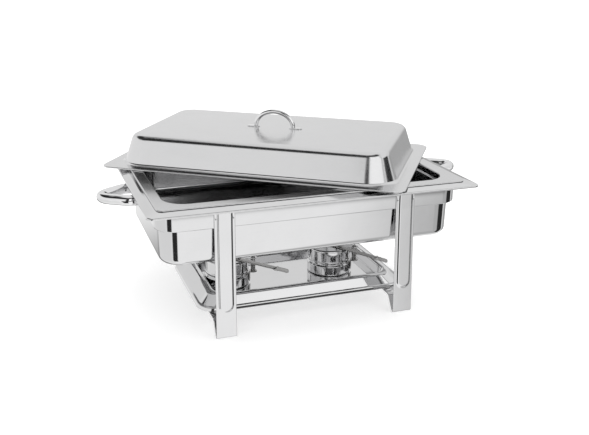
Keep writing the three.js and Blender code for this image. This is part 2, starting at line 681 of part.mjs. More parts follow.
function addLid(parent) {
  const group = new THREE.Group();
  const fittings = new THREE.Group();
  fittings.position.set(archPlace.x, archPlace.y, 0);
  group.add(fittings);
  group.position.x = lidPlace.x;
  group.rotation.z = THREE.MathUtils.degToRad(lidPlace.turn);
  node(group, 'lid_shell', lidShell(), 'brushed');
  node(fittings, 'lid_handle', lidArch(), 'chrome');
  for (const [side, x] of [['left', -1], ['right', 1]]) {
    node(fittings, `lid_foot_plate_${side}`, footPlateOf(x), 'chrome');
    node(fittings, `lid_screw_${side}`, lidScrewBody(), 'chrome').position.x = x * arch.halfSpan;
  }
  parent.add(group);
}

const warmer = new THREE.Group();
const stand = new THREE.Group();
stand.position.y = -lidPlace.y;
warmer.add(stand);
addStand(stand);
node(stand, 'water_pan', waterPanShell(), 'mirror');
node(stand, 'food_pan', foodPanShell(), 'brushed');
holders.forEach((holder) => addHolder(stand, holder));
addLid(warmer);

export default warmer;
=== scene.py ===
import math

import bpy
import numpy as np
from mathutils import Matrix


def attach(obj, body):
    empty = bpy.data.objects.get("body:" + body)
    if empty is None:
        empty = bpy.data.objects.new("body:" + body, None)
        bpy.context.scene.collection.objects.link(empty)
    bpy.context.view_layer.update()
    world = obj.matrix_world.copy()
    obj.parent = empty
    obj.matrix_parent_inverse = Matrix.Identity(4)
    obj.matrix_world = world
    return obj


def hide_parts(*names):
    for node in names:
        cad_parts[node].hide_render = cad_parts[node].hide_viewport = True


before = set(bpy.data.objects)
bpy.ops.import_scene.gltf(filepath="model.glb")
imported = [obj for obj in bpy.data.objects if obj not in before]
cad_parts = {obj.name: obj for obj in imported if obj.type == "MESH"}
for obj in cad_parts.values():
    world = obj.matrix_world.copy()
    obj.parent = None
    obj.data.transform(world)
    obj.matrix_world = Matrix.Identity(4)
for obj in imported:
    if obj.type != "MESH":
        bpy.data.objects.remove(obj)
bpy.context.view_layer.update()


# ---- Camera ----
# Stands to the front left of the warmer and looks down on it a little, on a long lens that is
# shifted so that the warmer sits a little above the middle of the view.
eye = bpy.data.cameras.new("eye")
eye.sensor_width = 36.0
eye.lens = 49.17
eye.shift_x = 0.0540
eye.shift_y = -0.1053
eye.clip_end = 200.0
eye_place = bpy.data.objects.new("eye", eye)
eye_place.location = (-0.46912, -1.39324, 0.61277)
eye_place.rotation_euler = (math.pi / 2 - 0.2550, 0.0, -0.3155)
bpy.context.scene.collection.objects.link(eye_place)
bpy.context.scene.camera = eye_place
bpy.context.scene.view_settings.view_transform = "Standard"


# ---- Table and studio ----
# A plain white table under an even white sky and one big softbox. What the steel mirrors is a
# painted tent that only mirrored rays see: pale, with dark stands, boards and one bright window.
table_half = 40.0
table_mesh = bpy.data.meshes.new("table_top")
table_mesh.from_pydata([(-table_half, -table_half, 0), (table_half, -table_half, 0),
                        (table_half, table_half, 0), (-table_half, table_half, 0)], [], [(0, 1, 2, 3)])
table_top = bpy.data.objects.new("table_top", table_mesh)
bpy.context.scene.collection.objects.link(table_top)
table_paint = bpy.data.materials.new("white_table")
table_paint.use_nodes = True
table_shader = table_paint.node_tree.nodes["Principled BSDF"]
table_shader.inputs["Base Color"].default_value = (0.86, 0.86, 0.86, 1.0)
table_shader.inputs["Roughness"].default_value = 0.9
table_shader.inputs["Specular IOR Level"].default_value = 0.1
table_shader.inputs["Emission Color"].default_value = (1.0, 1.0, 1.0, 1.0)
table_shader.inputs["Emission Strength"].default_value = 0.42
table_mesh.materials.append(table_paint)
table_top.visible_glossy = False

sky = bpy.data.worlds.new("studio")
sky.use_nodes = True
sky.node_tree.nodes["Background"].inputs["Color"].default_value = (1.0, 1.0, 1.0, 1.0)
sky.node_tree.nodes["Background"].inputs["Strength"].default_value = 0.95
bpy.context.scene.world = sky
sky.cycles_visibility.glossy = False

softbox = bpy.data.lights.new("overhead_softbox", "AREA")
softbox.shape = "RECTANGLE"
softbox.size, softbox.size_y = 2.4, 1.6
softbox.energy = 22.0
softbox_place = bpy.data.objects.new("overhead_softbox", softbox)
softbox_place.location = (0.6, 0.4, 2.6)
softbox_place.rotation_euler = (0.0, math.radians(8), 0.0)
softbox_place.visible_glossy = False
bpy.context.scene.collection.objects.link(softbox_place)

tent_rise, tent_turn = np.meshgrid(np.linspace(-90, 90, 181), np.linspace(-180, 180, 361), indexing="ij")


def board(turn, spread, low, high, soft):
    """How much of the tent a board covers, from 0 to 1: a smooth edge of +- soft degrees round a
    patch that reaches `spread` to both sides of its turn (0 is the front, positive to the right)
    and from one height above the horizon to another."""
    aside = np.abs((tent_turn - turn + 180) % 360 - 180)
    parts = [(spread - aside), (tent_rise - low), (high - tent_rise)]
    t = [np.clip(part / (2 * soft) + 0.5, 0, 1) for part in parts]
    return np.prod([v * v * (3 - 2 * v) for v in t], axis=0)


tent_radius = 30.0
tent_light = 0.98 - 0.10 * np.clip(tent_rise / 90, 0, 1)
for cover, light in (
    (board(15, 75, -90, 1, 6), 1.10),  # bright table in front, greyer to the right and the left
    (board(52, 24, -90, 1, 6), 0.56),
    (board(-97, 42, -45, -6, 8), 0.90),
    (board(128, 30, -30, 9, 6), 0.45),  # grey wall past the right end, paler wall behind
    (board(150, 60, 7, 28, 7), 0.85),
    (board(-95, 55, 34, 66, 3), 0.03),  # black boards overhead, to the left and in front
    (board(12, 52, 52, 70, 3), 0.03),
    (board(2, 43, -9, 56, 3), 0.04),  # bright window in a black frame
    (board(9, 33, 3, 47, 2), 1.18),
    (board(-40, 12, -45, -3, 2), 0.03),  # black stands, left and right
    (board(72, 18, -50, 17, 2), 0.03),
    (board(-168, 26, -60, -21, 3), 0.25),  # dark cloth behind the table
):
    tent_light = tent_light + (light - tent_light) * cover
up, about = np.radians(tent_rise), np.radians(tent_turn)
tent_points = tent_radius * np.stack(
    [np.sin(about) * np.cos(up), -np.cos(about) * np.cos(up), np.sin(up)], axis=2)
rows, columns = tent_rise.shape
row, column = np.meshgrid(np.arange(rows - 1), np.arange(columns - 1), indexing="ij")
corner = (row * columns + column).ravel()
tent_faces = np.stack([corner, corner + 1, corner + columns + 1, corner + columns], axis=1)
tent_mesh = bpy.data.meshes.new("painted_tent")
tent_mesh.from_pydata(tent_points.reshape(-1, 3).tolist(), [], tent_faces.tolist())
glow = tent_mesh.attributes.new("glow", "FLOAT", "POINT")
glow.data.foreach_set("value", tent_light.astype(np.float32).ravel())
tent = bpy.data.objects.new("painted_tent", tent_mesh)
bpy.context.scene.collection.objects.link(tent)
tent_paint = bpy.data.materials.new("painted_tent")
tent_paint.use_nodes = True
tent_paint.cycles.emission_sampling = "NONE"
tent_nodes = tent_paint.node_tree.nodes
tent_nodes.clear()
tent_glow = tent_nodes.new("ShaderNodeAttribute")
tent_glow.attribute_name = "glow"
tent_shine = tent_nodes.new("ShaderNodeEmission")
tent_out = tent_nodes.new("ShaderNodeOutputMaterial")
tent_paint.node_tree.links.new(tent_glow.outputs["Fac"], tent_shine.inputs["Strength"])
tent_paint.node_tree.links.new(tent_shine.outputs[0], tent_out.inputs["Surface"])
tent_mesh.materials.append(tent_paint)
tent.visible_camera = False
tent.visible_diffuse = False
tent.visible_shadow = False
tent.visible_transmission = False


# ---- Collar band ----
# A strip of 1.2 mm stainless steel bent round to a rectangle, with a small lip turned in along its
# lower edge, welded and mirror polished. It carries the pans, the legs and the bow handles.
mm = 0.001
stand_back = -93.6  # the stand stands that far in front of the middle of the lid
rest = 0.3  # left between pieces that lie on each other


def bent_line(corners, steps=10):
    """Section line through corners (out, height, bend radius). A bend is the arc that touches both
    of its straights: centre + radius turned evenly from one touching point to the other. A point
    0.1 mm before and after each arc keeps the straights flat in the shading."""
    corners = [np.array((*c, 0.0)[:3], float) for c in corners]
    parts = [corners[0][None, :2]]
    for before, corner, after in zip(corners, corners[1:], corners[2:]):
        into, away = corner[:2] - before[:2], after[:2] - corner[:2]
        into, away = into / np.hypot(*into), away / np.hypot(*away)
        turn = math.atan2(into[0] * away[1] - into[1] * away[0], into @ away)
        if corner[2] == 0 or abs(turn) < 0.01:
            parts.append(corner[None, :2])
            continue
        back = corner[2] * math.tan(abs(turn) / 2)
        start = corner[:2] - back * into
        arm = -math.copysign(corner[2], turn) * np.array([-into[1], into[0]])
        angle = np.linspace(0, turn, steps + 1)[:, None]
        arc = start - arm + np.cos(angle) * arm + np.sin(angle) * np.array([-arm[1], arm[0]])
        guard = 0.1
        parts += [(start - guard * into)[None], arc, (corner[:2] + (back + guard) * away)[None]]
    parts.append(corners[-1][None, :2])
    return np.concatenate(parts)


def moved_left(line, thickness):
    """The line moved to its left by the thickness: each point goes along the bisector of the normals
    of its two sides, by the thickness over the cosine of half the turn between them."""
    step = np.diff(line, axis=0)
    normal = np.stack([-step[:, 1], step[:, 0]], axis=1) / np.hypot(step[:, 0], step[:, 1])[:, None]
    before = np.concatenate([normal[:1], normal])
    after = np.concatenate([normal, normal[-1:]])
    bisector = before + after
    bisector /= np.linalg.norm(bisector, axis=1)[:, None]
    return line + bisector * (thickness / (bisector * before).sum(axis=1))[:, None]


def rounded_edge(line, back, thickness):
    """Half an ellipse over the end of a sheet, from its near face to its far face, and the two
    lines cut back to where it starts. Its depth is half the thickness, or less on a short edge."""
    step = line[-1] - line[-2]
    length = np.hypot(*step)
    depth = min(thickness / 2, 0.8 * length)
    along, across = step / length, back[-1] - line[-1]
    line, back = line.copy(), back.copy()
    line[-1] -= depth * along
    back[-1] -= depth * along
    angle = np.linspace(0, np.pi, 7)[1:-1, None]
    middle = (line[-1] + back[-1]) / 2
    return line, back, middle - np.cos(angle) * across / 2 + np.sin(angle) * depth * along


def sheet_section(corners, thickness, open_start, steps=10):
    """Closed outline of a bent sheet: its section line, the rounded far edge, and the same line
    moved left by the thickness on the way back. With open_start the near edge is rounded too."""
    line = bent_line(corners, steps)
    back = moved_left(line, thickness)
    line, back, far = rounded_edge(line, back, thickness)
    if not open_start:
        return np.concatenate([line, far, back[::-1]]), len(line)
    turned_back, turned_line, near = rounded_edge(back[::-1], line[::-1], thickness)
    return np.concatenate([turned_line[::-1], far, turned_back, near]), len(line)


def rounded_outline(half_length, half_width, radius, corner_steps=20):
    """Rectangles with round corners, one row for each size: corner centre + radius * (cos, sin) over
    the four quarter turns, with a point 1 mm past each arc to keep the straight sides flat."""
    quarter = np.linspace(0, np.pi / 2, corner_steps + 1)
    parts = []
    for k, (x, y) in enumerate([(1, 1), (-1, 1), (-1, -1), (1, -1)]):
        angle = (quarter + k * np.pi / 2)[None, :]
        arc = np.stack([x * (half_length - radius)[:, None] + radius[:, None] * np.cos(angle),
                        y * (half_width - radius)[:, None] + radius[:, None] * np.sin(angle)], axis=2)
        first = arc[:, :1] - [[[-np.sin(angle[0, 0]), np.cos(angle[0, 0])]]]
        last = arc[:, -1:] + [[[-np.sin(angle[0, -1]), np.cos(angle[0, -1])]]]
        parts += [first, arc, last]
    return np.concatenate(parts, axis=1)


def skin(rings, closes):
    """Faces over a grid of rings: each ring closes on itself; the row of rings closes too, or its
    two ends are filled with triangles to their middles. Turned round if they enclose less than 0."""
    rows, count = rings.shape[:2]
    points = rings.reshape(-1, 3)
    row = np.arange(rows if closes else rows - 1)[:, None]
    i = np.arange(count)[None, :]
    low, high, j = row * count, (row + 1) % rows * count, (i + 1) % count
    quads = np.stack([low + i, low + j, high + j, high + i], axis=2).reshape(-1, 4)
    triangles = np.zeros((0, 3), int)
    if not closes:
        start, end = len(points), len(points) + 1
        points = np.concatenate([points, rings[0].mean(axis=0)[None], rings[-1].mean(axis=0)[None]])
        i, j = i[0], j[0]
        last = (rows - 1) * count
        triangles = np.concatenate([np.stack([np.full(count, start), j, i], axis=1),
                                    np.stack([np.full(count, end), last + i, last + j], axis=1)])
    flat = np.concatenate([quads[:, [0, 1, 2]], quads[:, [0, 2, 3]], triangles])
    a, b, c = points[flat[:, 0]], points[flat[:, 1]], points[flat[:, 2]]
    if (a * np.cross(b, c)).sum() < 0:
        quads, triangles = quads[:, ::-1], triangles[:, ::-1]
    return points, quads.tolist() + triangles.tolist()


def pressed(body, rim, corners, thickness, open_start=False, steps=10, corner_steps=20):
    """Pressed sheet: its section is carried round a rounded rectangle. A point that lies `out` from
    the wall line is on the rectangle grown by out * end / side at the ends and by out at the sides;
    inside the wall line the corners shrink with it, outside they go over to the rim's radius.
    The second result is where each point lay on the flat blank: the same rectangle grown by the
    length of the section, which is what the grain of the sheet follows."""
    section, far = sheet_section(corners, thickness, open_start, steps)
    out, height = section[:, 0], section[:, 1]
    share = np.maximum(out, 0) / rim["side"]
    out_at_ends = np.where(out > 0, share * rim["end"], out)
    radius = np.where(out > 0, body["corner"] + share * (rim["edge"] - body["corner"]),
                      np.maximum(body["corner"] + out, 1.0))
    ring = rounded_outline(body["length"] + out_at_ends, body["width"] + out, radius, corner_steps)
    rings = np.concatenate([ring, np.broadcast_to(height[:, None, None], ring.shape[:2] + (1,))], axis=2)
    run = np.concatenate([[0], np.cumsum(np.hypot(*np.diff(section, axis=0).T))])
    run = np.where(np.arange(len(run)) < far, run, run[far - 1] - (run - run[far - 1]))
    run = run + out[0]
    blank = rounded_outline(body["length"] + run, body["width"] + run,
                            np.maximum(body["corner"] + run, 1.0), corner_steps)
    points, faces = skin(rings, open_start)
    blank = blank.reshape(-1, 2)
    if not open_start:
        blank = np.concatenate([blank, np.zeros((2, 2))])
    return points, faces, blank


def put(points, turn=0.0, shift=(0.0, 0.0, 0.0)):
    """Points turned about the upright by degrees, then moved, in millimetres."""
    c, s = math.cos(math.radians(turn)), math.sin(math.radians(turn))
    return points @ np.array([[c, s, 0], [-s, c, 0], [0, 0, 1]]) + np.array(shift)


def add_piece(name, points, faces, material, body, nodes, blank=None, sharp=50.0):
    """A piece at the origin with its place in its mesh. Edges that turn more than sharp degrees stay
    crisp. The blank, if given, becomes the map that the grain of the sheet follows, in metres."""
    mesh = bpy.data.meshes.new(name)
    mesh.from_pydata((points * mm).tolist(), [], faces)
    mesh.polygons.foreach_set("use_smooth", np.ones(len(mesh.polygons), bool))
    if blank is not None:
        corner = np.zeros(len(mesh.loops), int)
        mesh.loops.foreach_get("vertex_index", corner)
        grain = mesh.uv_layers.new(name="grain")
        grain.data.foreach_set("uv", (blank[corner] * mm).astype(np.float32).ravel())
    mesh.set_sharp_from_angle(angle=math.radians(sharp))
    mesh.validate()
    mesh.update()
    mesh.materials.append(material)
    piece = bpy.data.objects.new(name, mesh)
    bpy.context.scene.collection.objects.link(piece)
    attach(piece, body)
    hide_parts(*nodes)
    return piece


def steel(name, tone, roughness, grain_depth, wander, grain="grain", stretch=110.0, smudge=0.05):
    """Stainless steel. Fine grain: noise drawn out along the blank, which roughens and scores the
    surface. Wander: slow waves of a pressed sheet, a few tenths of a millimetre deep. Smudges: soft
    patches, a little rougher and darker. Roughness and tone are each a base plus those patterns."""
    material = bpy.data.materials.new(name)
    material.use_nodes = True
    tree = material.node_tree
    nodes, links = tree.nodes, tree.links
    shader = nodes["Principled BSDF"]
    shader.inputs["Metallic"].default_value = 1.0
    place = nodes.new("ShaderNodeTexCoord")
    if grain == "grain":
        source = nodes.new("ShaderNodeUVMap")
        source.uv_map = "grain"
        along = source.outputs["UV"]
    else:
        along = place.outputs["Object"]
    drawn = nodes.new("ShaderNodeMapping")
    drawn.inputs["Scale"].default_value = (1.0, stretch, stretch if grain != "grain" else 1.0)
    links.new(along, drawn.inputs["Vector"])
    lines = nodes.new("ShaderNodeTexNoise")
    lines.inputs["Scale"].default_value = 16.0
    lines.inputs["Detail"].default_value = 5.0
    lines.inputs["Roughness"].default_value = 0.62
    links.new(drawn.outputs["Vector"], lines.inputs["Vector"])
    slow = nodes.new("ShaderNodeTexNoise")
    slow.inputs["Scale"].default_value = 7.0
    slow.inputs["Detail"].default_value = 1.5
    links.new(place.outputs["Object"], slow.inputs["Vector"])
    patch = nodes.new("ShaderNodeTexNoise")
    patch.inputs["Scale"].default_value = 21.0
    patch.inputs["Detail"].default_value = 4.0
    patch.inputs["Roughness"].default_value = 0.6
    patch.inputs["Distortion"].default_value = 0.4
    links.new(place.outputs["Object"], patch.inputs["Vector"])

    rough_lines = nodes.new("ShaderNodeMapRange")
    rough_lines.inputs["From Min"].default_value = 0.3
    rough_lines.inputs["From Max"].default_value = 0.7
    rough_lines.inputs["To Min"].default_value = roughness * 0.75
    rough_lines.inputs["To Max"].default_value = roughness * 1.3
    links.new(lines.outputs["Fac"], rough_lines.inputs["Value"])
    rough_patch = nodes.new("ShaderNodeMapRange")
    rough_patch.inputs["From Min"].default_value = 0.5
    rough_patch.inputs["From Max"].default_value = 0.75
    rough_patch.inputs["To Min"].default_value = 0.0
    rough_patch.inputs["To Max"].default_value = smudge
    links.new(patch.outputs["Fac"], rough_patch.inputs["Value"])
    rough = nodes.new("ShaderNodeMath")
    rough.operation = "ADD"
    links.new(rough_lines.outputs["Result"], rough.inputs[0])
    links.new(rough_patch.outputs["Result"], rough.inputs[1])
    links.new(rough.outputs[0], shader.inputs["Roughness"])

    colour = nodes.new("ShaderNodeValToRGB")
    colour.color_ramp.elements[0].position = 0.3
    colour.color_ramp.elements[1].position = 0.72
    colour.color_ramp.elements[0].color = (*[0.955 * t for t in tone], 1.0)
    colour.color_ramp.elements[1].color = (*[min(1.0, 1.03 * t) for t in tone], 1.0)
    blend = nodes.new("ShaderNodeMath")
    blend.operation = "MULTIPLY_ADD"
    blend.inputs[1].default_value = 0.45
    links.new(lines.outputs["Fac"], blend.inputs[0])
    share = nodes.new("ShaderNodeMath")
    share.operation = "MULTIPLY"
    share.inputs[1].default_value = 0.55
    links.new(patch.outputs["Fac"], share.inputs[0])
    links.new(share.outputs[0], blend.inputs[2])
    links.new(blend.outputs[0], colour.inputs["Fac"])
    links.new(colour.outputs["Color"], shader.inputs["Base Color"])

    waves = nodes.new("ShaderNodeBump")
    waves.inputs["Strength"].default_value = 1.0
    waves.inputs["Distance"].default_value = wander * mm
    links.new(slow.outputs["Fac"], waves.inputs["Height"])
    score = nodes.new("ShaderNodeBump")
    score.inputs["Strength"].default_value = 1.0
    score.inputs["Distance"].default_value = grain_depth * mm
    links.new(lines.outputs["Fac"], score.inputs["Height"])
    links.new(waves.outputs["Normal"], score.inputs["Normal"])
    links.new(score.outputs["Normal"], shader.inputs["Normal"])
    return material


mirror_steel = steel("mirror_polished_steel", (0.70, 0.70, 0.705), 0.07, 0.002, 0.30)

collar = {"length": 263.0, "width": 151.0, "corner": 34.0}
collar_height, collar_top, collar_sheet, collar_lip, collar_bend = 38.0, 224.0, 1.2, 3.0, 2.0
collar_low = collar_top - collar_height
no_rim = {"end": 1.0, "side": 1.0, "edge": 1.0}
points, faces, blank = pressed(
    collar, no_rim, [(-collar_lip, collar_low), (0, collar_low, collar_bend), (0, collar_top)],
    collar_sheet, open_start=True)
add_piece("collar_strip", put(points, 0, (0, stand_back, 0)), faces, mirror_steel, "stand",
          ["collar_band"], blank)


# ---- Legs ----
# Four legs pressed from 1.6 mm strip and mirror polished. A rib with round ends stiffens each, four
# spot welds hold it flat on the collar, and its foot turns in to a short toe on the table.
leg_width, leg_sheet, leg_spacing, leg_splay, leg_toe, leg_bend = 34.0, 1.6, 157.0, 5.0, 6.5, 2.5
rib = {"flat": 9.5, "flank": 3.5, "lift": 1.8, "low": 57.0}  # low: middle of its round lower end
weld = {"across": 14.4, "heights": (214.0, 203.0), "depth": 0.5, "radius": 1.3}


def filled_in(line, step):
    """The line with points added so that none is further than step from the next: the old points
    and evenly spaced ones, both laid out by their length along the line."""
    length = np.concatenate([[0], np.cumsum(np.hypot(*np.diff(line, axis=0).T))])
    even = np.arange(0, length[-1], step)
    keep = even[np.abs(even[:, None] - length[None, :]).min(axis=1) > 0.2 * step]
    where = np.sort(np.concatenate([length, keep]))
    return np.stack([np.interp(where, length, line[:, 0]), np.interp(where, length, line[:, 1])], axis=1)


def strip(line, thickness, width, lift=None, columns=24):
    """Sheet strip: a section line in depth and height, carried across the width. Its far face is the
    line moved left by the thickness, and half ellipses close its two long edges. A lift, a function
    of the place across and along, pushes both faces out to the right of the line.
    Points are (across, depth, height); the blank is (along, across)."""
    back = moved_left(line, thickness)
    inward = (back - line) / np.linalg.norm(back - line, axis=1)[:, None]
    along = np.concatenate([[0], np.cumsum(np.hypot(*np.diff(line, axis=0).T))])
    width = np.broadcast_to(np.asarray(width, float), along.shape)
    edge = np.linspace(0, np.pi, 7)[1:-1]
    round_off = 0.3 * thickness
    across = np.linspace(-1, 1, columns + 1)
    depth = np.concatenate([np.zeros(columns + 1), (1 - np.cos(edge)) / 2,
                            np.ones(columns + 1), (1 + np.cos(edge)) / 2])
    side = np.concatenate([across, np.ones(5), across[::-1], -np.ones(5)])
    proud = np.concatenate([np.zeros(columns + 1), np.sin(edge), np.zeros(columns + 1), -np.sin(edge)])
    half = width[:, None] / 2 - round_off
    x = half * side[None, :] + round_off * proud[None, :]
    push = 0.0 if lift is None else lift(x, along[:, None])
    into = thickness * np.broadcast_to(depth[None, :], x.shape) - np.broadcast_to(push, x.shape)
    place = line[:, None, :] + inward[:, None, :] * into[..., None]
    rings = np.concatenate([x[..., None], place], axis=2)
    points, faces = skin(rings, False)
    blank = np.stack([np.broadcast_to(along[:, None], x.shape), x], axis=2).reshape(-1, 2)
    return points, faces, np.concatenate([blank, np.zeros((2, 2))])


def leg_relief(x, along):
    """Rib: its full height within a slot of half its flat width, falling to nothing over its flank by
    3t^2 - 2t^3. Welds: four shallow round dents, each depth * exp(-(distance / radius)^2)."""
    height = collar_top - rest - along
    past_end = np.maximum(rib["low"] - height, 0)
    t = np.clip((rib["flat"] + rib["flank"] - np.hypot(x, past_end)) / rib["flank"], 0, 1)
    relief = rib["lift"] * t * t * (3 - 2 * t)
    for weld_x in (-weld["across"], weld["across"]):
        for weld_height in weld["heights"]:
            distance = np.hypot(x - weld_x, height - weld_height)
            relief = relief - weld["depth"] * np.exp(-(distance / weld["radius"]) ** 2)
    return relief


leg_face = collar["width"] + rest + leg_sheet
leg_line = filled_in(bent_line([
    (-leg_face, collar_top - rest), (-leg_face, collar_low),
    (-leg_face - leg_splay, 0, leg_bend), (-leg_face - leg_splay + leg_toe, 0)]), 1.4)
points, faces, blank = strip(leg_line, leg_sheet, leg_width, leg_relief, 72)
for side, x in (("left", -leg_spacing), ("right", leg_spacing)):
    for place, turn in (("front", 0), ("back", 180)):
        moved = put(points, turn, (x, stand_back, 0))
        add_piece(f"leg_{place}_{side}_pressed", moved, faces, mirror_steel, "stand",
                  [f"leg_{place}_{side}"], blank)


# ---- Cross straps ----
# Two straps of 2 mm sheet, one from a front foot to a back foot under each end of the shelf. They
# are bent down to the toes, welded there, and carry the shelf on their flat middles.
strap_sheet, strap_top, strap_flat, strap_bend, toe_gap = 2.0, 27.0, 135.0, 6.0, 1.0
strap_end = collar["width"] + leg_splay + rest - leg_toe + leg_sheet - toe_gap
strap_under = strap_top - strap_sheet
strap_line = filled_in(bent_line([
    (-strap_end, leg_sheet), (-strap_flat, strap_under, strap_bend), (strap_flat, strap_under, strap_bend),
    (strap_end, leg_sheet)]), 6.0)
points, faces, blank = strip(strap_line, strap_sheet, leg_width)
for side, x in (("left", -leg_spacing), ("right", leg_spacing)):
    add_piece(f"strap_{side}_bent", put(points, 0, (x, stand_back, 0)), faces, mirror_steel, "stand",
              [f"cross_strap_{side}"], blank)


# ---- Shelf ----
# The fuel holders stand on this tray, pressed from 1 mm sheet. Its rim rises to a rounded crest and
# rolls down outside to a skirt that stands on the straps.
tray = {"length": 156.0, "width": 93.0, "corner": 26.0}
tray_rim = {"end": 34.0, "side": 24.0, "edge": 34.0}
tray_sheet = 1.0
tray_foot = strap_top + rest
tray_floor = tray_foot + 2.0
tray_crest = tray_foot + 22.0
points, faces, blank = pressed(tray, tray_rim, [
    (-31.0, tray_floor), (0, tray_floor, 2.5), (1.2, tray_crest, 2.5), (8, tray_crest - 0.5, 6),
    (19, tray_foot + 6.5, 1.5), (21.5, tray_foot + 5.5, 1.5), (tray_rim["side"] - tray_sheet, tray_foot)],
    tray_sheet)
add_piece("shelf_pressed", put(points, 0, (0, stand_back, 0)), faces, mirror_steel, "stand",
          ["fuel_tray"], blank)


# ---- Bow handles ----
# Chromed 18 mm tube bent to a bow at each end of the collar. Both ends are pressed flat into tabs
# that lie on the collar, where a domed rivet holds each.
chrome = steel("chromed_tube", (0.78, 0.78, 0.785), 0.05, 0.0006, 0.05, "object", 6.0, 0.03)
bow_radius, bow_reach, bow_height, bow_spread = 9.0, 64.0, 208.0, 48.0
tab_half, tab_sheet, tab_length = 10.0, 4.0, 16.0
tab_square = 0.35  # power that squares the tab's section; 1 is round


def smooth_step(value, low, high):
    """0 below low, 1 above high, and 3t^2 - 2t^3 of the share between."""
    t = np.clip((value - low) / (high - low), 0, 1)
    return t * t * (3 - 2 * t)


def smooth_path(points, count):
    """Curve through points by centripetal Catmull-Rom: between two points it is a blend of straight
    lines through them and their neighbours, with knots spaced by the square root of the distance.
    The result is evenly spaced along the curve."""
    ends = [2 * points[0] - points[1], 2 * points[-1] - points[-2]]
    p = np.concatenate([ends[:1], points, ends[1:]])
    knot = np.concatenate([[0], np.cumsum(np.sqrt(np.linalg.norm(np.diff(p, axis=0), axis=1)))])
    parts = []
    for i in range(len(points) - 1):
        t = np.linspace(knot[i + 1], knot[i + 2], 40, endpoint=False)[:, None]
        k, q = knot[i:i + 4], p[i:i + 4]
        first = [(q[j] * (k[j + 1] - t) + q[j + 1] * (t - k[j])) / (k[j + 1] - k[j])
                 for j in range(3)]
        second = [(first[j] * (k[j + 2] - t) + first[j + 1] * (t - k[j])) / (k[j + 2] - k[j])
                  for j in range(2)]
        parts.append((second[0] * (k[2] - t) + second[1] * (t - k[1])) / (k[2] - k[1]))
    line = np.concatenate([*parts, points[-1:]])
    length = np.concatenate([[0], np.cumsum(np.linalg.norm(np.diff(line, axis=0), axis=1))])
    where = np.linspace(0, length[-1], count)
    return np.stack([np.interp(where, length, line[:, i]) for i in range(line.shape[1])], axis=1)


def bow_tube():
    """Tube along the bow's centre line, whose section is a ring of |cos|^s and |sin|^s with their
    signs: nearly a rectangle of the tab's size where it lies on the collar, going over to a circle
    of the tube's radius (s = 1) as it leaves."""
    x = collar["length"] + rest + tab_sheet / 2
    half = np.array([
        (x, bow_spread + tab_length / 2), (x, bow_spread), (x, bow_spread - tab_length / 2),
        (x + 0.12 * bow_reach, bow_spread - 0.75 * tab_length), (x + 0.34 * bow_reach, 0.7 * bow_spread),
        (x + 0.64 * bow_reach, 0.47 * bow_spread), (x + 0.9 * bow_reach, 0.22 * bow_spread)])
    middle = np.array([[x + 0.965 * bow_reach, 0]])
    centre = smooth_path(np.concatenate([half, middle, half[::-1] * [1, -1]]), 161)
    centre[:, 0] = np.maximum(centre[:, 0], x)
    ahead = np.gradient(centre, axis=0)
    ahead /= np.linalg.norm(ahead, axis=1)[:, None]
    across = np.stack([ahead[:, 1], -ahead[:, 0]], axis=1)
    to_round = smooth_step(centre[:, 0] - x, 0.02 * bow_reach, 0.3 * bow_reach)[:, None]
    angle = np.linspace(0, 2 * np.pi, 49)[None, :-1]
    power = tab_square + (1 - tab_square) * to_round
    thick = (tab_sheet / 2 + (bow_radius - tab_sheet / 2) * to_round) * (
        np.sign(np.cos(angle)) * np.abs(np.cos(angle)) ** power)
    tall = (tab_half + (bow_radius - tab_half) * to_round) * (
        np.sign(np.sin(angle)) * np.abs(np.sin(angle)) ** power)
    rings = np.stack([centre[:, :1] + across[:, :1] * thick, centre[:, 1:] + across[:, 1:] * thick,
                      bow_height + tall], axis=2)
    return skin(rings, False)


def turned(profile, count=40, closes=False):
    """Turned piece: a profile of (radius, height) carried round the upright axis. It closes on
    itself, or its flat ends are filled to the axis."""
    angle = np.linspace(0, 2 * np.pi, count + 1)[None, :-1]
    r, z = np.asarray(profile, float).T[:, :, None]
    rings = np.stack([r * np.cos(angle), r * np.sin(angle), z + 0 * angle], axis=2)
    return skin(rings, closes)


def rivet(tail, tail_height, shank, head, head_height, grip):
    """Rivet from its tail up: rounded tail, shank, and a domed head whose dome is a quarter ellipse
    over the upper 0.7 of the head's height."""
    seat = tail_height + grip
    quarter = np.linspace(0.04, 0.97, 9) * np.pi / 2
    dome = np.stack([head * np.cos(quarter), seat + head_height * (0.3 + 0.7 * np.sin(quarter))], axis=1)
    return turned([
        (0.6 * tail, 0), (0.92 * tail, 0.15 * tail_height), (tail, 0.5 * tail_height), (tail, tail_height),
        (shank, tail_height), (shank, seat), (0.97 * head, seat), (head, seat + 0.1 * head_height), *dome])


bow_points, bow_faces = bow_tube()
inner = collar["length"] - collar_sheet - rest
outer = collar["length"] + rest + tab_sheet + rest
tail_height = 1.2
pin_points, pin_faces = rivet(3.4, tail_height, 2.0, 4.6, 2.2, outer - inner)
pin_points = pin_points[:, [2, 1, 0]] * [1, -1, 1] + [inner - tail_height, 0, bow_height]
for side, turn in (("left", 180), ("right", 0)):
    add_piece(f"bow_{side}_tube", put(bow_points, turn, (0, stand_back, 0)), bow_faces, chrome,
              "stand", [f"end_handle_{side}"])
    for place, y in (("front", -bow_spread), ("back", bow_spread)):
        add_piece(f"bow_rivet_{side}_{place}", put(pin_points, turn, (0, stand_back + y, 0)), pin_faces,
                  chrome, "stand", [f"handle_rivet_{side}_{place}"], sharp=40)


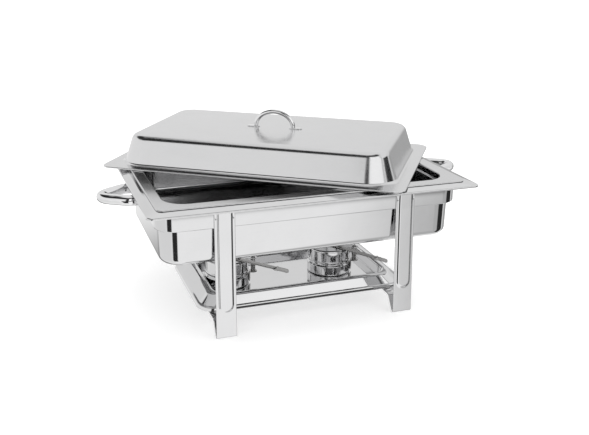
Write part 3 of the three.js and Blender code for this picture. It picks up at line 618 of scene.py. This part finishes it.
# ---- Fuel holders and snuffers ----
# Each holder is a spun steel cup with a dull bracket welded to its side. A pin through the bracket,
# a distance tube and the cap's lug lets the spun cap swing off the cup by its riveted lever.
dull_steel = steel("dull_steel", (0.42, 0.415, 0.41), 0.24, 0.004, 0.1, "object", 40.0, 0.08)
cup_floor = tray_floor + tray_sheet + rest
cup_radius, cup_neck, neck_top, cap_radius, cap_height = 39.7, 36.5, 23.3, 38.0, 24.0
cap_low = neck_top + 0.6
cap_top = cap_low + cap_height
cup_height, neck_foot, cap_bead, spun_sheet, bracket_sheet = 17.5, 20.2, 0.8, 1.0, 1.8
lug_reach, lug_half, lug_turn = 47.0, 7.0, -30.0
lever_turn, lever_start, lever_tip, lever_sheet = -60.0, -6.0, 128.0, 1.8
lever_width, tip_width, twist_at, twist_run = 12.0, 7.0, 100.0, 10.0
lug_x, lug_y = lug_reach * math.cos(math.radians(lug_turn)), lug_reach * math.sin(math.radians(lug_turn))


def joined(*solids):
    """Several solids as one mesh: their points in a row, and each one's faces counted on."""
    points, faces, start = [], [], 0
    for solid_points, solid_faces in solids:
        points.append(solid_points)
        faces += [[i + start for i in face] for face in solid_faces]
        start += len(solid_points)
    return np.concatenate(points), faces


def tongue(start, reach, half, low, thickness, line=None):
    """Flat or bent tongue with a round tip: a strip whose half width is the root of half squared
    less the distance past the tip's centre squared."""
    if line is None:
        line = np.array([(start, low), (reach, low)], float)
    tip = reach + half * np.sin(np.linspace(0, 0.985, 12) * np.pi / 2)
    line = np.concatenate([line[:-1], np.stack([tip, np.full(12, line[-1, 1])], axis=1)])
    past = np.maximum(line[:, 0] - reach, 0)
    points, faces, _ = strip(line, thickness, 2 * np.sqrt(half ** 2 - past ** 2), columns=6)
    return points[:, [1, 0, 2]] * [1, -1, 1], faces


def lever_bar():
    """Flat bar along X with round edges, turned upright by a smooth quarter twist near its end and
    narrowed there. Its section is a ring of |cos|^0.3 and |sin|^0.6 with their signs."""
    along = np.concatenate([[lever_start, lever_start + 0.6, lever_start + 2], np.linspace(4, twist_at, 20),
                            twist_at + twist_run * np.linspace(0.05, 1, 16), [lever_tip - 2, lever_tip]])
    twist = smooth_step(along, twist_at, twist_at + twist_run)[:, None]
    at_end = np.interp(along, [lever_start, lever_start + 2, lever_tip - 2, lever_tip], [0.7, 1, 1, 0.7])
    half_width = at_end[:, None] * (lever_width + (tip_width - lever_width) * twist) / 2
    angle = np.linspace(0, 2 * np.pi, 33)[None, :-1]
    across = half_width * np.sign(np.cos(angle)) * np.abs(np.cos(angle)) ** 0.3
    up = lever_sheet / 2 * np.sign(np.sin(angle)) * np.abs(np.sin(angle)) ** 0.6
    c, s = np.cos(twist * np.pi / 2), np.sin(twist * np.pi / 2)
    rings = np.stack([along[:, None] + 0 * across, across * c - up * s,
                      cap_top + rest + lever_sheet / 2 + across * s + up * c], axis=2)
    return skin(rings, False)


cup_line, _ = sheet_section([(1, 0), (cup_radius, 0, 3), (cup_radius, cup_height, 1.5),
                             (cup_neck, neck_foot, 1.5), (cup_neck, neck_top)], spun_sheet, False)
cup_solid = turned(cup_line, 96)
bracket_out, bracket_top = cup_radius + rest + bracket_sheet, neck_top - rest - bracket_sheet
bracket_solid = tongue(0, lug_reach, lug_half, 0, bracket_sheet, bent_line([
    (bracket_out, 5), (bracket_out, bracket_top, 0.8), (lug_reach, bracket_top)]))
sleeve_high = cap_top - spun_sheet - rest
sleeve_solid = turned([(2.3, neck_top), (4, neck_top), (4, sleeve_high), (2.3, sleeve_high)], 40, True)
pin_low, pin_tail = bracket_top - rest, 1.5
pin_solid = rivet(3.5, pin_tail, 2.0, 4.0, 2.0, cap_top + rest - pin_low)
wall, cap_inside = cap_radius - spun_sheet, cap_top - spun_sheet
cap_line, _ = sheet_section([(1, cap_inside), (wall, cap_inside, 3), (wall, cap_low + 2.5, 0.5),
                             (wall + cap_bead, cap_low + 1.5, 0.5), (wall + cap_bead, cap_low)],
                            spun_sheet, False)
lug_points, lug_faces = tongue(33.0, lug_reach, lug_half, cap_inside - 0.02, spun_sheet)
cap_solid = joined(turned(cap_line, 96), (put(lug_points, lug_turn), lug_faces))
lever_solid = lever_bar()
rivet_tail = 1.0
lever_rivet = rivet(3.0, rivet_tail, 2.0, 3.6, 1.6, spun_sheet + 3 * rest + lever_sheet)
rivet_low = cap_inside - rest - rivet_tail
# Each row: name, solid, its turn and place on the holder, steel, slot, what it rides and its node.
rows = [
    ("cup_spun", cup_solid, 0, (0, 0, 0), mirror_steel, "polished_steel", "fuel_holder", "fuel_cup"),
    ("bracket_bent", bracket_solid, lug_turn, (0, 0, 0), dull_steel, "dull_steel", "fuel_holder",
     "cup_bracket"),
    ("sleeve_tube", sleeve_solid, 0, (lug_x, lug_y, 0), dull_steel, "dull_steel", "fuel_holder",
     "pivot_sleeve"),
    ("pin_domed", pin_solid, 0, (lug_x, lug_y, pin_low - pin_tail), dull_steel, "dull_steel",
     "fuel_holder", "pivot_pin"),
    ("cap_spun", cap_solid, 0, (0, 0, 0), mirror_steel, "polished_steel", "snuffer", "snuffer_cap"),
    ("lever_bar", lever_solid, lever_turn, (0, 0, 0), dull_steel, "dull_steel", "snuffer", "lever"),
]
for place, reach in (("near", 6.0), ("far", 26.0)):
    turn = math.radians(lever_turn)
    rows.append((f"lever_rivet_{place}_domed", lever_rivet, 0,
                 (reach * math.cos(turn), reach * math.sin(turn), rivet_low),
                 dull_steel, "dull_steel", "snuffer", f"lever_rivet_{place}"))
for side, holder_x, holder_turn in (("left", -115.0, 9.0), ("right", 81.0, 0.0)):
    at = (holder_x, stand_back - 8.0, cup_floor)
    for name, (points, faces), turn, shift, material, slot, body, cad_node in rows:
        moved = put(put(points, turn, shift), holder_turn, at)
        add_piece(f"{name}_{side}", moved, faces, material, f"{body}_{side}",
                  [f"{cad_node}_{side}"], sharp=35)


# ---- Water pan ----
# Deep pan drawn in one piece from 1.2 mm sheet and polished outside. It hangs in the collar by a
# broad flange that slopes off to a turned-down edge, and holds the hot water.
water_pan = {"length": 258.0, "width": 146.5, "corner": 40.0}
water_flange = {"end": 25.0, "side": 34.0, "edge": 12.0}
water_sheet, water_depth, pan_bend = 1.2, 99.0, 12.0
water_under = collar_top + rest
water_low = water_under - water_depth
water_edge = water_flange["side"] - water_sheet
points, faces, blank = pressed(water_pan, water_flange, [
    (-48.8, water_low), (-3.5, water_low, pan_bend), (0, water_under, 2.5), (17, water_under, 4),
    (water_edge, water_under - 2.5, 1.2), (water_edge, water_under - 5.0)], water_sheet)
add_piece("water_pan_shell", put(points, 0, (0, stand_back, 0)), faces, mirror_steel, "water_pan",
          ["water_pan"], blank)


# ---- Food pan ----
# Full-size food pan pressed from 1.2 mm sheet with a stacking shoulder below its rim, left with a
# satin finish. Its rim lies on the water pan's flange.
satin_steel = steel("satin_steel", (0.66, 0.66, 0.665), 0.17, 0.004, 0.2)
food_pan = {"length": 246.0, "width": 139.5, "corner": 41.0}
food_flange = {"end": 19.0, "side": 23.0, "edge": 12.0}
food_sheet, food_depth, food_lip, shoulder_down, shoulder_rise = 1.2, 64.0, 0.8, 11.0, 3.0
food_foot = water_under + water_sheet + rest
food_under = food_foot + food_lip
food_low = food_under - food_depth
food_edge = food_flange["side"] - food_sheet
shoulder = food_under - shoulder_down
points, faces, blank = pressed(food_pan, food_flange, [
    (-46.5, food_low), (-4, food_low, pan_bend), (-1.8, shoulder - shoulder_rise, 1.5), (0, shoulder, 1.5),
    (0, food_under, 2), (food_edge, food_under, 0.4), (food_edge, food_foot)], food_sheet)
add_piece("food_pan_shell", put(points, 0, (0, stand_back, 0)), faces, satin_steel, "food_pan",
          ["food_pan"], blank)


# ---- Lid ----
# Lid pressed from 1 mm sheet, brushed along its length, with leaning walls and a flat flange.
# It lies askew on the food pan's rim.
brushed_steel = steel("brushed_steel", (0.70, 0.70, 0.705), 0.16, 0.006, 0.35)
lid = {"length": 250.0, "width": 146.0, "corner": 48.0}
lid_flange = {"end": 22.0, "side": 23.5, "edge": 20.0}
lid_sheet, lid_lip, lid_height, lid_lean, lid_crown = 1.0, 1.6, 52.0, 17.0, 14.0
lid_turn, lid_x = -35.5, 4.0
lid_foot = food_under + food_sheet + rest
lid_under = lid_foot + lid_lip
lid_roof = lid_under + lid_height
lid_edge = lid_flange["side"] - lid_sheet
points, faces, blank = pressed(lid, lid_flange, [
    (-73, lid_roof), (-lid_lean, lid_roof, lid_crown), (0, lid_under, 6), (lid_edge, lid_under, 0.6),
    (lid_edge, lid_foot)], lid_sheet)
add_piece("lid_dome", put(points, lid_turn, (lid_x, 0, 0)), faces, brushed_steel, "lid",
          ["lid_shell"], blank)


# ---- Lid handle ----
# A round chromed rod bent to an arch. Each foot stands on a small oblong plate, and a screw from
# inside the lid goes up through the roof and the plate into the rod.
arch_rod, arch_half, arch_rise, plate_sheet, arch_x, arch_y = 4.3, 36.0, 28.0, 1.5, 3.0, 6.0
plate_low = lid_roof + lid_sheet + rest
arch_low = plate_low + plate_sheet + rest
angle = np.linspace(0, np.pi, 81)[:, None]
around = np.linspace(0, 2 * np.pi, 41)[None, :-1]
out_x, out_z = arch_rise * np.cos(angle), arch_half * np.sin(angle)
norm = np.hypot(out_x, out_z)
rings = np.stack([arch_half * np.cos(angle) + arch_rod * np.cos(around) * out_x / norm,
                  arch_rod * np.sin(around) + 0 * angle,
                  arch_low + arch_rise * np.sin(angle) + arch_rod * np.cos(around) * out_z / norm], axis=2)
points, faces = skin(rings + [arch_x, arch_y, 0], False)
add_piece("lid_handle_arch", put(points, lid_turn, (lid_x, 0, 0)), faces, chrome, "lid",
          ["lid_handle"])


def stadium_plate(half_length, half_width, low, thickness):
    """Oblong plate with round ends and an eased top edge: rings of a stadium, drawn in by a quarter
    circle over the upper part of its thickness."""
    angle = np.linspace(0, 2 * np.pi, 65)[:-1]
    shift = (half_length - half_width) * np.sign(np.cos(angle))
    ease = np.linspace(0, np.pi / 2, 6)
    eased = 0.6
    inset = np.concatenate([[0.0], eased * (1 - np.cos(ease))])[:, None]
    height = low + np.concatenate([[0.0], thickness - eased + eased * np.sin(ease)])[:, None]
    radius = half_width - inset
    return skin(np.stack([shift + radius * np.cos(angle), radius * np.sin(angle), height + 0 * angle],
                         axis=2), False)


screw_end, screw_seat = arch_low + 6.0, lid_roof - rest
screw = turned([(1.6, screw_end), (1.8, screw_end - 0.3), (1.8, screw_seat), (4.4, screw_seat),
                (4.5, screw_seat - 0.2), (4.4, screw_seat - 1.2), (3.6, screw_seat - 1.9),
                (2.4, screw_seat - 2.2)][::-1])
plate_points, plate_faces = stadium_plate(12.0, 6.0, plate_low, plate_sheet)
plate_past = 5.0  # the plates reach that much further out than the feet of the arch
for side, sign in (("left", -1), ("right", 1)):
    plate_x = arch_x + sign * (arch_half + plate_past)
    moved = put(plate_points + [plate_x, arch_y, 0], lid_turn, (lid_x, 0, 0))
    add_piece(f"foot_plate_{side}_eased", moved, plate_faces, chrome, "lid",
              [f"lid_foot_plate_{side}"], sharp=35)
    moved = put(screw[0] + [arch_x + sign * arch_half, arch_y, 0], lid_turn, (lid_x, 0, 0))
    add_piece(f"lid_screw_{side}_turned", moved, screw[1], dull_steel, "lid",
              [f"lid_screw_{side}"], sharp=35)
